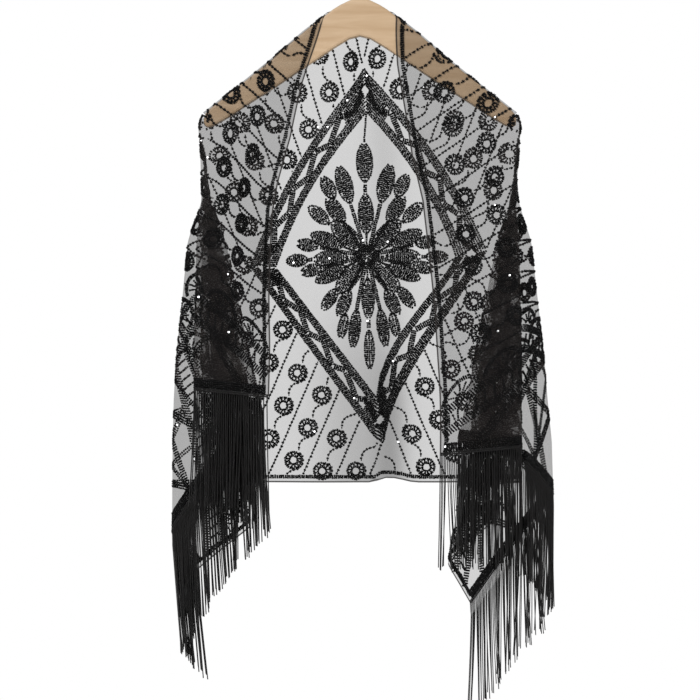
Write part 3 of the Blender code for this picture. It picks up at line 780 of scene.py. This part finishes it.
def fan(piece, at, middle):
    """One fan beyond the border's outer band: two arcs of beads over five spokes."""
    base = border_depths(middle)[1] + FAN_GAP
    after, before = (border_depths(middle + off)[1] for off in (SLOPE_STEP, -SLOPE_STEP))
    slope = (after - before) / (2 * SLOPE_STEP)

    def point(angle, radius):
        flat = radius * math.sin(angle)
        return at(base + radius * math.cos(angle) + slope * flat, middle + flat)

    for radius, spread in FAN_ARCS:
        chain(piece, [point(angle, radius) for angle in np.linspace(-spread, spread, 24)])
    for angle in FAN_SPOKES:
        chain(piece, straight(point(angle, FAN_GAP), point(angle, FAN_RADIUS - FAN_GAP)), size=0.9)


def border(side):
    """One end: a header band, a tall zigzag with centre bars, two bands with a ladder between, and fans."""
    across = side["sign"]
    piece = "border_left_beads" if across < 0 else "border_right_beads"

    def at(distance, v):
        u = across * (side["run"] - np.asarray(distance, float))
        return np.stack(np.broadcast_arrays(u, np.asarray(v, float)), -1)

    v = np.linspace(BORDER_HEM, STOLE_WIDTH - BORDER_HEM, 120)
    band(piece, at(HEADER_BAND, v), 5)
    for depth in border_depths(v):
        band(piece, at(depth, v), 4, size=BAR_SIZE, pitch=BAR_PITCH)
    for n in range(ZIGS):
        foot = STOLE_WIDTH * (n + 0.5) / ZIGS
        for way, rows, least in STROKES:
            top = foot + way * STOLE_WIDTH / ZIGS / 2
            head = border_depths(top)[0]
            if head > least:
                stroke = straight(at(ZIG_FOOT, foot), at(head - ZIG_GAP, top))
                band(piece, stroke, rows, BAR_SPACING, BAR_SIZE, BAR_PITCH)
    for rung in RUNGS:
        low, high = border_depths(rung)
        chain(piece, straight(at(low + RUNG_GAP, rung), at(high - RUNG_GAP, rung)))
    for n in range(FANS):
        fan(piece, at, STOLE_WIDTH * (n + 0.5) / FANS)


def long_edges():
    """A thick line of beads inside each hem."""
    for near in EDGE_ROWS:
        for v in (near, STOLE_WIDTH - near):
            chain("edge_beads", straight((-LEFT_RUN + EDGE_END, v), (RIGHT_RUN - EDGE_END, v), 400))


# A bead: a four-sided barrel with pointed ends, its shoulders as a share of its length, and how it lies.
BEAD_LENGTH = 0.00228
BEAD_WIDTH = 0.00218
BEAD_HEIGHT = 0.0017
BEAD_SHOULDER = 0.8
BEAD_SIDES = 4
BEAD_LIFT = 0.4
BEAD_ROLL = 0.3
BEAD_SIZES = (0.93, 1.07)
BEAD_SEED = 3
JITTER = 0.00012


def bead_faces():
    """Triangles of one bead: a point at each end, and two rings of corners between them."""
    faces = []
    for n in range(BEAD_SIDES):
        a, b = 1 + n, 1 + (n + 1) % BEAD_SIDES
        c, d = a + BEAD_SIDES, b + BEAD_SIDES
        faces += [(0, a, b), (a, c, d), (a, d, b), (2 * BEAD_SIDES + 1, d, c)]
    return np.array(faces)


def bead_meshes(material):
    """One mesh of small barrels for each piece of the embroidery."""
    made = []
    draw = np.random.default_rng(BEAD_SEED)
    for piece, rows in work.items():
        rows = np.concatenate(rows)
        rows[:, :2] += draw.normal(0, JITTER, (len(rows), 2))
        rows[:, 4] *= draw.uniform(*BEAD_SIZES, len(rows))
        here, along_u, along_v, out = surface(rows[:, 0], rows[:, 1])
        way = unit(along_u * rows[:, 2:3] + along_v * rows[:, 3:4])
        flat_across = np.cross(out, way)
        roll = draw.normal(0, BEAD_ROLL, (len(rows), 1))
        third = flat_across * np.cos(roll) + out * np.sin(roll)
        out = out * np.cos(roll) - flat_across * np.sin(roll)
        half_length = way * BEAD_LENGTH / 2
        half_width = third * rows[:, 4:5] * BEAD_WIDTH / 2
        half_height = out * rows[:, 4:5] * BEAD_HEIGHT / 2
        here = here + half_height * BEAD_LIFT
        corners = [here - half_length]
        for end in (-BEAD_SHOULDER, BEAD_SHOULDER):
            corners += [here + half_length * end + half_width * a + half_height * b
                        for a, b in ((1, 1), (-1, 1), (-1, -1), (1, -1))]
        corners += [here + half_length]
        points = np.stack(corners, 1).reshape(-1, 3)
        made.append(mesh_object(piece, points, repeated(bead_faces(), len(rows), len(corners)), material))
    return made


# Sequins that catch the light, at random places of the bead work.
SEQUIN_RADIUS = 0.0013
SEQUIN_CUP = 0.0003
SEQUIN_SHARE = 0.0012
SEQUIN_LIFT = 0.0019
SEQUIN_CORNERS = 8
SEQUIN_SEED = 5
GLINT_WAY = (-0.22, -0.93, 0.3)
GLINT_SPREAD = 0.07


def sequins(material):
    """Small cupped discs, tilted so that they shine towards the front."""
    draw = np.random.default_rng(SEQUIN_SEED)
    around = np.arange(SEQUIN_CORNERS) * 2 * math.pi / SEQUIN_CORNERS
    points = []
    for rows in work.values():
        rows = np.concatenate(rows)
        rows = rows[draw.choice(len(rows), int(len(rows) * SEQUIN_SHARE), replace=False)]
        here, _, _, out = surface(rows[:, 0], rows[:, 1])
        here = here + out * np.where(out[:, 1:2] < 0, SEQUIN_LIFT, -SEQUIN_LIFT)
        way = unit(np.array(GLINT_WAY) + draw.normal(0, GLINT_SPREAD, (len(rows), 3)))
        side = unit(np.cross(way, (0.0, 0.0, 1.0)))
        up = np.cross(side, way)
        rim = [here + (side * math.cos(a) + up * math.sin(a)) * SEQUIN_RADIUS for a in around]
        points.append(np.stack([here - way * SEQUIN_CUP] + rim, 1))
    points = np.concatenate(points)
    faces = np.array([(0, 1 + n, 1 + (n + 1) % SEQUIN_CORNERS) for n in range(SEQUIN_CORNERS)])
    every = repeated(faces, len(points), SEQUIN_CORNERS + 1)
    return mesh_object("sequins", points.reshape(-1, 3), every, material, False)


# Fringe: its strands leave the edge outwards and turn down within their lead.
STRAND_LENGTH = 0.13
STRAND_JOINTS = 9
STRAND_CORNERS = (0.5, 2.6, 4.7)
STRAND_ROOT = 0.7
STRAND_LEAD = 0.0025
LENGTH_SPREAD = (-0.035, 0.03)
SWAY = 0.0014
SWAY_CURVE = 1.5
GROUP = 5
GROUP_SWAY = 0.0026
EDGE_STEP = 0.003
# Each end: seed, strands, their radius, crowding towards the lower corner (below 1) or the upper one, how far
# the lowest ones lean inwards, and their length by depth.
FRINGES = {
    -1: dict(seed=7, strands=270, radius=0.00072, crowding=0.85, lean=0.012,
             lengths=((0.0, 1.0), (0.7, 1.0), (0.84, 1.12), (1.0, 0.94))),
    1: dict(seed=11, strands=240, radius=0.00062, crowding=1.1, lean=0.0, lengths=((0.0, 1.0), (1.0, 1.0))),
}
HEADER_STEPS = 500
HEADER_CORNERS = 5
HEADER_OFFSETS = (-0.0012, 0.0008)
HEADER_RADIUS = 0.0009
HEADER_END = 0.001


def short_edge(side, v):
    """Points a little inside the short edge, points on it, and the unit ways out of the cloth."""
    u = np.full_like(v, side["sign"] * side["run"])
    inside, edge = place(u - side["sign"] * EDGE_STEP, v), place(u, v)
    return inside, edge, unit(edge - inside)


def tube_faces(rings, corners):
    """Faces of an open tube, from its number of rings and of corners in each."""
    n, m = np.meshgrid(np.arange(rings - 1), np.arange(corners), indexing="ij")
    a, b = corners * n + m, corners * n + (m + 1) % corners
    return np.stack([a, b, b + corners, a + corners], -1).reshape(-1, 4)


def fringe(name, side, material):
    """Long straight strands from the short edge, each with its own slight sway and length."""
    own = FRINGES[side["sign"]]
    draw = np.random.default_rng(own["seed"])
    strands = own["strands"]
    share_down = ((np.arange(strands) + 0.5) / strands) ** own["crowding"]
    inside, edge, onward = short_edge(side, STOLE_WIDTH * share_down)
    root = inside + (edge - inside) * STRAND_ROOT
    length = STRAND_LENGTH * table(own["lengths"], share_down) * (1 + draw.uniform(*LENGTH_SPREAD, strands))
    sway = draw.normal(0, SWAY, (strands, 2))
    sway = sway + np.repeat(draw.normal(0, GROUP_SWAY, (strands // GROUP, 2)), GROUP, axis=0)
    lean = -side["sign"] * own["lean"] * share_down ** 2
    joints = []
    for share in np.linspace(0, 1, STRAND_JOINTS):
        fall = share * length
        first = STRAND_LEAD * (1 - np.exp(-fall / STRAND_LEAD))
        spot = root + onward * first[:, None]
        spot[:, 2] -= np.maximum(fall - first, 0)
        spot[:, 0] += sway[:, 0] * share ** SWAY_CURVE + lean * share
        spot[:, 1] += sway[:, 1] * share ** SWAY_CURVE
        joints.append(spot)
    joints = np.stack(joints, 1)
    corners = [joints + own["radius"] * np.array([math.cos(a), math.sin(a), 0]) for a in STRAND_CORNERS]
    points = np.stack(corners, 2).reshape(-1, 3)
    sides = len(STRAND_CORNERS)
    faces = repeated(tube_faces(STRAND_JOINTS, sides), strands, sides * STRAND_JOINTS)

    # The header: two cords side by side along the edge.
    _, edge, out = short_edge(side, np.linspace(HEADER_END, STOLE_WIDTH - HEADER_END, HEADER_STEPS))
    up = np.cross(out, unit(np.gradient(edge, axis=0)))
    for offset in HEADER_OFFSETS:
        corners = [edge + out * (offset + HEADER_RADIUS * math.cos(a)) + up * HEADER_RADIUS * math.sin(a)
                   for a in np.arange(HEADER_CORNERS) * 2 * math.pi / HEADER_CORNERS]
        faces = np.concatenate([faces, len(points) + tube_faces(HEADER_STEPS, HEADER_CORNERS)])
        points = np.concatenate([points, np.stack(corners, 1).reshape(-1, 3)])
    return mesh_object(name, points, faces, material)


# Net's opacity: the mesh's cell, and the opacity from the middle of a thread to the middle of a hole.
NET_CELL = 0.0015
NET_THREAD = (0.1, 0.34)
NET_OPACITY = (0.5, 0.28)
# Painted shade of the back's folds and crease, laid into the net's opacity: middle and half width across,
# start and end down, and how much darker.
NET_PAINTED_SHADES = ((0.028, 0.022, 0.07, 0.11, 0.16), (-0.006, 0.045, 0.27, 0.42, 0.3),
              (0.038, 0.018, 0.36, 0.44, 0.24))
NET_HEM = (0.0016, 0.002)
HEM_OPACITY = 0.92
# Hard materials: colour, roughness, metallic, specular, and the grain and range of their uneven roughness.
GLASS = ("black_beads", (0.0018, 0.0018, 0.002), 0.22, 0.0, 0.16, 420.0, 0.06, 0.32)
FOIL = ("bright_sequins", (0.92, 0.92, 0.93), 0.3, 1.0, 0.5, 500.0, 0.22, 0.4)
STEEL = ("steel", (0.7, 0.7, 0.71), 0.22, 1.0, 0.5, 300.0, 0.16, 0.3)


def put(node, values):
    """Sets values on a node's own sockets."""
    for name, value in values.items():
        node.inputs[name].default_value = value


def principled(name, colour, roughness, metallic=0.0, specular=0.5):
    """A new material, its shader and its node tree."""
    material = bpy.data.materials.new(name)
    material.use_nodes = True
    shader = material.node_tree.nodes["Principled BSDF"]
    put(shader, {"Base Color": (*colour, 1), "Roughness": roughness, "Metallic": metallic,
                 "Specular IOR Level": specular})
    return material, shader, material.node_tree


def map_range(tree, value, start, end, kind="LINEAR"):
    """A value carried from one range to another: start and end are pairs of old and new values."""
    node = tree.nodes.new("ShaderNodeMapRange")
    node.interpolation_type = kind
    put(node, {"From Min": start[0], "From Max": end[0], "To Min": start[1], "To Max": end[1]})
    tree.links.new(value, node.inputs["Value"])
    return node.outputs[0]


def glossy_material(name, colour, roughness, metallic, specular, scale, low, high):
    """A hard material whose roughness differs from spot to spot."""
    material, shader, tree = principled(name, colour, roughness, metallic, specular)
    noise = tree.nodes.new("ShaderNodeTexNoise")
    put(noise, {"Scale": scale})
    spread = map_range(tree, noise.outputs["Fac"], (0.0, low), (1.0, high))
    tree.links.new(spread, shader.inputs["Roughness"])
    return material


def relief(tree, shader, height, strength, distance):
    """Fine relief from a height."""
    bump = tree.nodes.new("ShaderNodeBump")
    put(bump, {"Strength": strength, "Distance": distance})
    tree.links.new(height, bump.inputs["Height"])
    tree.links.new(bump.outputs["Normal"], shader.inputs["Normal"])


def net_material():
    """Fine diamond mesh of black thread, nearly closed in the hems, with painted shade of the back's folds
    and crease laid into its opacity.
    """
    material, shader, tree = principled("black_net", (0.022, 0.019, 0.018), 0.65, specular=0.12)
    uv = tree.nodes.new("ShaderNodeUVMap")
    uv.uv_map = "flat"
    split = tree.nodes.new("ShaderNodeSeparateXYZ")
    tree.links.new(uv.outputs["UV"], split.inputs[0])
    u, v = split.outputs["X"], split.outputs["Y"]

    def calc(kind, *values):
        node = tree.nodes.new("ShaderNodeMath")
        node.operation = kind
        for slot, value in zip(node.inputs, values):
            if isinstance(value, (int, float)):
                slot.default_value = value
            else:
                tree.links.new(value, slot)
        return node.outputs[0]

    threads = []
    for kind in ("ADD", "SUBTRACT"):
        at = calc("DIVIDE", calc(kind, u, v), NET_CELL)
        threads.append(calc("PINGPONG", at, 0.5))
    near = calc("MULTIPLY", calc("MINIMUM", *threads), 2.0)
    opacity = map_range(tree, near, *zip(NET_THREAD, NET_OPACITY))
    # Painted shade: in soft stretches of the back, where its folds and crease lie in shade, the net is made
    # more opaque and so darker.
    painted_shade = 0.0
    for at_u, half_u, from_v, to_v, painted_darkening in NET_PAINTED_SHADES:
        off = calc("DIVIDE", calc("SUBTRACT", u, at_u), half_u)
        falling = calc("MULTIPLY", calc("MULTIPLY", off, off), -1.0)
        grown = map_range(tree, v, (from_v, 0.0), (to_v, painted_darkening), "SMOOTHSTEP")
        part = calc("MULTIPLY", calc("EXPONENT", falling), grown)
        painted_shade = calc("ADD", painted_shade, part)
    clear = calc("SUBTRACT", 1.0, opacity)
    opacity_with_painted_shade = calc("ADD", opacity, calc("MULTIPLY", clear, painted_shade))
    to_edge = calc("MINIMUM", v, calc("SUBTRACT", STOLE_WIDTH, v))
    hem = map_range(tree, to_edge, (NET_HEM[0], HEM_OPACITY), (NET_HEM[1], 0.0))
    tree.links.new(calc("MAXIMUM", opacity_with_painted_shade, hem), shader.inputs["Alpha"])
    return material


def yarn_material():
    """Soft twisted black yarn."""
    material, shader, tree = principled("black_fringe", (0.005, 0.0045, 0.0045), 0.4, specular=0.22)
    put(shader, {"Sheen Weight": 0.05})
    wave = tree.nodes.new("ShaderNodeTexWave")
    wave.bands_direction = "Z"
    put(wave, {"Scale": 260.0})
    relief(tree, shader, wave.outputs["Fac"], 0.4, 0.0004)
    return material


def wood_material():
    """Pale lacquered wood with a fine grain along the hanger."""
    material, shader, tree = principled("pale_wood", (0.66, 0.46, 0.27), 0.42)
    where = tree.nodes.new("ShaderNodeTexCoord")
    mapping = tree.nodes.new("ShaderNodeMapping")
    put(mapping, {"Scale": (9.0, 60.0, 75.0)})
    tree.links.new(where.outputs["Object"], mapping.inputs["Vector"])
    noise = tree.nodes.new("ShaderNodeTexNoise")
    put(noise, {"Scale": 1.6, "Detail": 7.0, "Distortion": 0.6})
    tree.links.new(mapping.outputs[0], noise.inputs["Vector"])
    ramp = tree.nodes.new("ShaderNodeValToRGB")
    shades = ((0.3, (0.47, 0.315, 0.18, 1)), (0.7, (0.59, 0.425, 0.27, 1)))
    for stop, (position, colour) in zip(ramp.color_ramp.elements, shades):
        stop.position = position
        stop.color = colour
    tree.links.new(noise.outputs["Fac"], ramp.inputs["Fac"])
    tree.links.new(ramp.outputs["Color"], shader.inputs["Base Color"])
    relief(tree, shader, noise.outputs["Fac"], 0.15, 0.0005)
    return material


# Stage. Lights: name, place, power, size. They are aimed at the middle of the stole.
WORLD_STRENGTH = 0.35
FLOOR_HALF = 2.2
FLOOR_Z = -1.3
BACKDROP_HALF, BACKDROP_Y, BACKDROP_FOOT_Z, BACKDROP_TOP_Z = 5, 3, -4, 3
LIGHTS = (("key", (-0.9, -1.6, 0.7), 27, 0.35), ("fill", (1.3, -1.5, -0.1), 9, 0.35))
LIGHTS_AIM = (0, 0, -0.4)
CAMERA_LENS = 100
CAMERA_SENSOR = 36
CAMERA_AT = (-0.0113, -2.195, -0.4624)


def set_stage():
    """White surroundings, a pale floor far below, soft lights and the camera."""
    scene = bpy.context.scene
    scene.world = bpy.data.worlds.new("white_studio")
    scene.world.use_nodes = True
    put(scene.world.node_tree.nodes["Background"], {"Color": (1, 1, 1, 1), "Strength": WORLD_STRENGTH})
    scene.view_settings.view_transform = "Standard"
    scene.cycles.transparent_max_bounces = 32
    around = ((-1, -1), (1, -1), (1, 1), (-1, 1))
    paint = principled("floor_paint", (0.85, 0.84, 0.82), 0.8)[0]
    floor = mesh_object("floor", [(FLOOR_HALF * a, FLOOR_HALF * b, FLOOR_Z) for a, b in around],
                        [(0, 1, 2, 3)], paint, False)
    paper, shader, _ = principled("backdrop_paper", (0, 0, 0), 1.0, specular=0.0)
    put(shader, {"Emission Color": (1, 1, 1, 1), "Emission Strength": 1.0})
    heights = {-1: BACKDROP_FOOT_Z, 1: BACKDROP_TOP_Z}
    backdrop = mesh_object("backdrop", [(BACKDROP_HALF * a, BACKDROP_Y, heights[b]) for a, b in around],
                           [(0, 1, 2, 3)], paper, False)
    for name, light_at, power, size in LIGHTS:
        light = bpy.data.lights.new(name, "AREA")
        light.energy = power
        light.size = size
        obj = linked(name, light)
        obj.location = light_at
        aim = np.array(LIGHTS_AIM) - np.array(light_at)
        obj.rotation_euler = (math.atan2(math.hypot(aim[0], aim[1]), -aim[2]), 0, math.atan2(-aim[0], aim[1]))
    lens = bpy.data.cameras.new("camera")
    lens.lens = CAMERA_LENS
    lens.sensor_width = CAMERA_SENSOR
    camera = linked("camera", lens)
    camera.location = CAMERA_AT
    camera.rotation_euler = (math.pi / 2, 0, 0)
    bpy.context.scene.camera = camera


def finish_node(name, material):
    """Gives a carried-over node its finished material."""
    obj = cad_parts[name]
    obj.data.materials.clear()
    obj.data.materials.append(material)
    obj.data.shade_smooth()


def main():
    """Makes the stage, the dressed stole and the hanger's finish, and declares each piece."""
    set_stage()
    net = net_sheet(net_material())
    net.visible_shadow = False
    rhombus_frame()
    medallion()
    field()
    border(SIDES["left"])
    border(SIDES["right"])
    long_edges()
    beads = bead_meshes(glossy_material(*GLASS)) + [sequins(glossy_material(*FOIL))]
    yarn = yarn_material()
    fringes = [fringe("fringe_left_strands", SIDES["left"], yarn),
               fringe("fringe_right_strands", SIDES["right"], yarn)]
    finish_node("hanger_body", wood_material())
    finish_node("hanger_hook", glossy_material(*STEEL))
    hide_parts("stole_back", "stole_left_front", "stole_right_front")
    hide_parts("fringe_left")
    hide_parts("fringe_right")
    for piece in [net] + beads + fringes:
        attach(piece, "root")


main()
